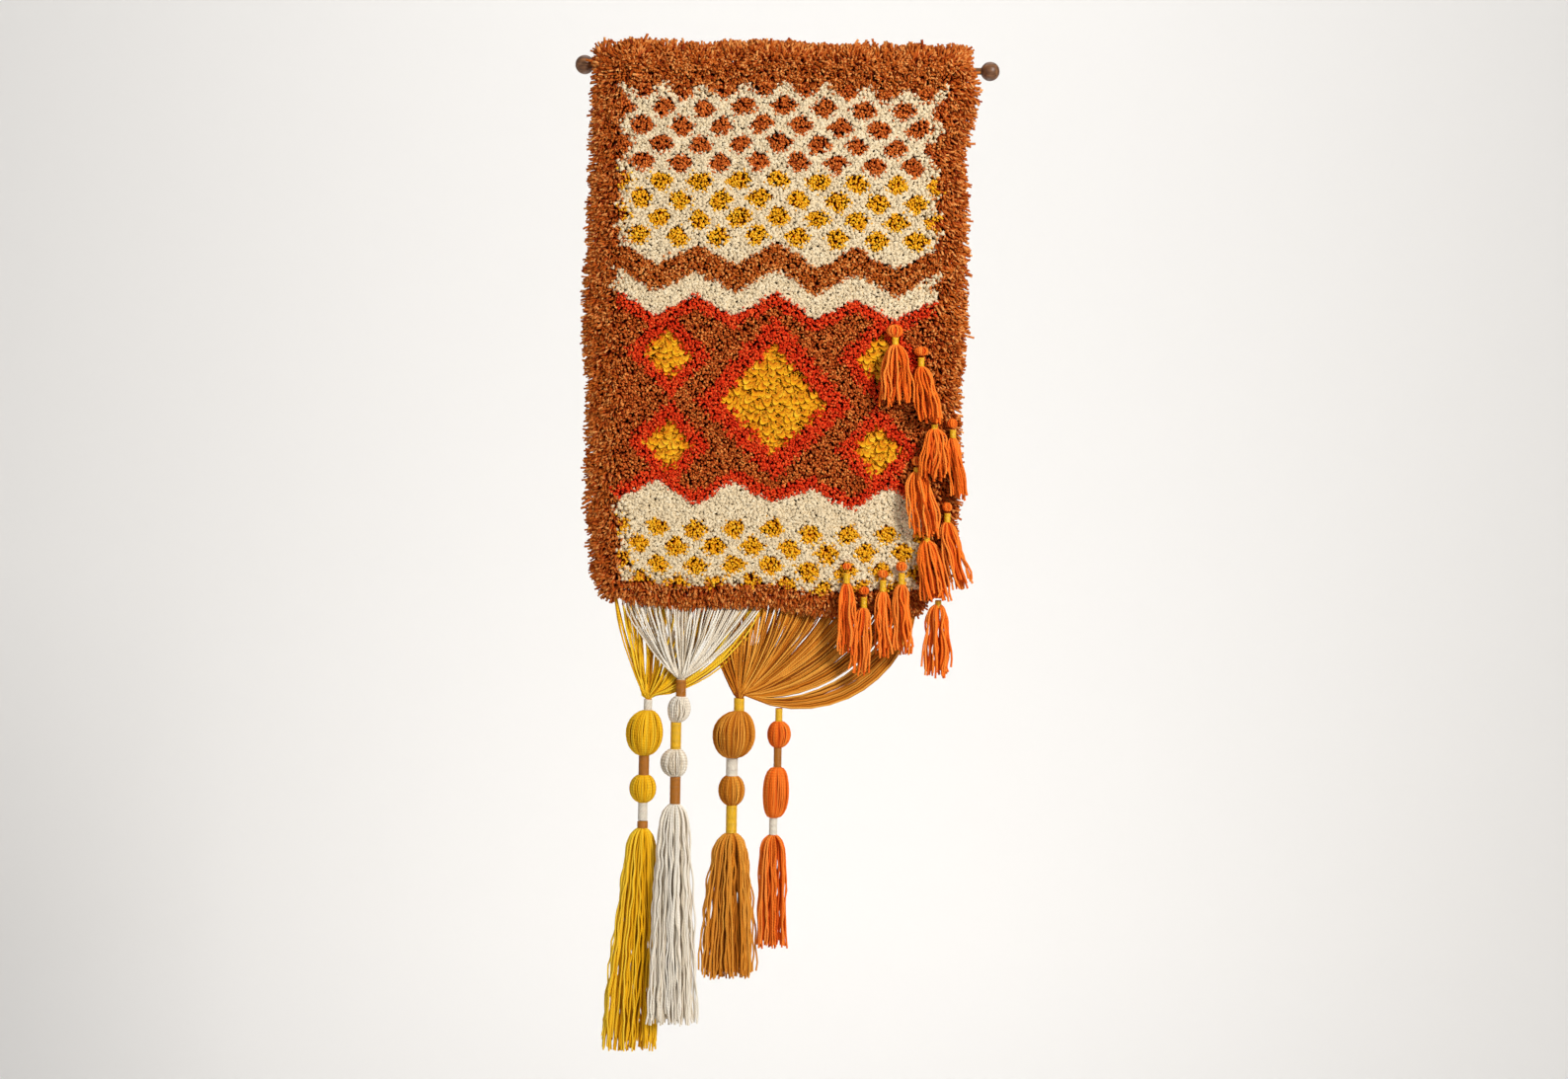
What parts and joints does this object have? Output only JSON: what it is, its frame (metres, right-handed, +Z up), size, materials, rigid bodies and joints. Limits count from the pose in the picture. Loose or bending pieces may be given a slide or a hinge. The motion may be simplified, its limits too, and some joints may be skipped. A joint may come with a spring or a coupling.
{
  "type": "smyrna rug wall hanging on a wooden rod",
  "caption": "Shag-pile rug hung from a wooden rod with round knobs, fringed into long bound tassels, with small tassels sewn on its face.",
  "frame": {"origin": "on the rod's axis, at the middle of its length", "axes": "+Z up, -Y the pile side that faces the room, +Y towards the wall, +X to the viewer's right along the rod"},
  "size_m": [0.624, 0.072, 1.4676],
  "materials": {
    "pile": "matte knotted wool pile",
    "yarn_yellow": "matte yarn",
    "yarn_white": "matte yarn",
    "yarn_brown": "matte yarn",
    "yarn_orange": "matte yarn",
    "wood": "dark stained, satin"
  },
  "bodies": {
    "root": {"brown_tassel": "yarn_brown", "brown_tassel_binding_1": "yarn_yellow", "brown_tassel_binding_2": "yarn_white", "brown_tassel_binding_3": "yarn_yellow", "knob_left": "wood", "knob_right": "wood", "orange_tassel": "yarn_orange", "orange_tassel_binding_1": "yarn_yellow", "orange_tassel_binding_2": "yarn_brown", "orange_tassel_binding_3": "yarn_white", "rod": "wood", "rug": "pile", "small_tassel_a": "yarn_orange", "small_tassel_a_binding": "yarn_yellow", "small_tassel_b": "yarn_orange", "small_tassel_b_binding": "yarn_yellow", "small_tassel_c": "yarn_orange", "small_tassel_c_binding": "yarn_yellow", "small_tassel_d": "yarn_orange", "small_tassel_d_binding": "yarn_yellow", "small_tassel_e": "yarn_orange", "small_tassel_e_binding": "yarn_yellow", "small_tassel_f": "yarn_orange", "small_tassel_f_binding": "yarn_yellow", "small_tassel_g": "yarn_orange", "small_tassel_g_binding": "yarn_yellow", "small_tassel_h": "yarn_orange", "small_tassel_h_binding": "yarn_yellow", "small_tassel_i": "yarn_orange", "small_tassel_i_binding": "yarn_yellow", "small_tassel_j": "yarn_orange", "small_tassel_j_binding": "yarn_yellow", "small_tassel_k": "yarn_orange", "small_tassel_k_binding": "yarn_yellow", "small_tassel_l": "yarn_orange", "small_tassel_l_binding": "yarn_yellow", "white_tassel": "yarn_white", "white_tassel_binding_1": "yarn_brown", "white_tassel_binding_2": "yarn_yellow", "white_tassel_binding_3": "yarn_brown", "yellow_tassel": "yarn_yellow", "yellow_tassel_binding_1": "yarn_white", "yellow_tassel_binding_2": "yarn_brown", "yellow_tassel_binding_3": "yarn_white", "yellow_tassel_binding_4": "yarn_brown"}
  },
  "joints": []
}
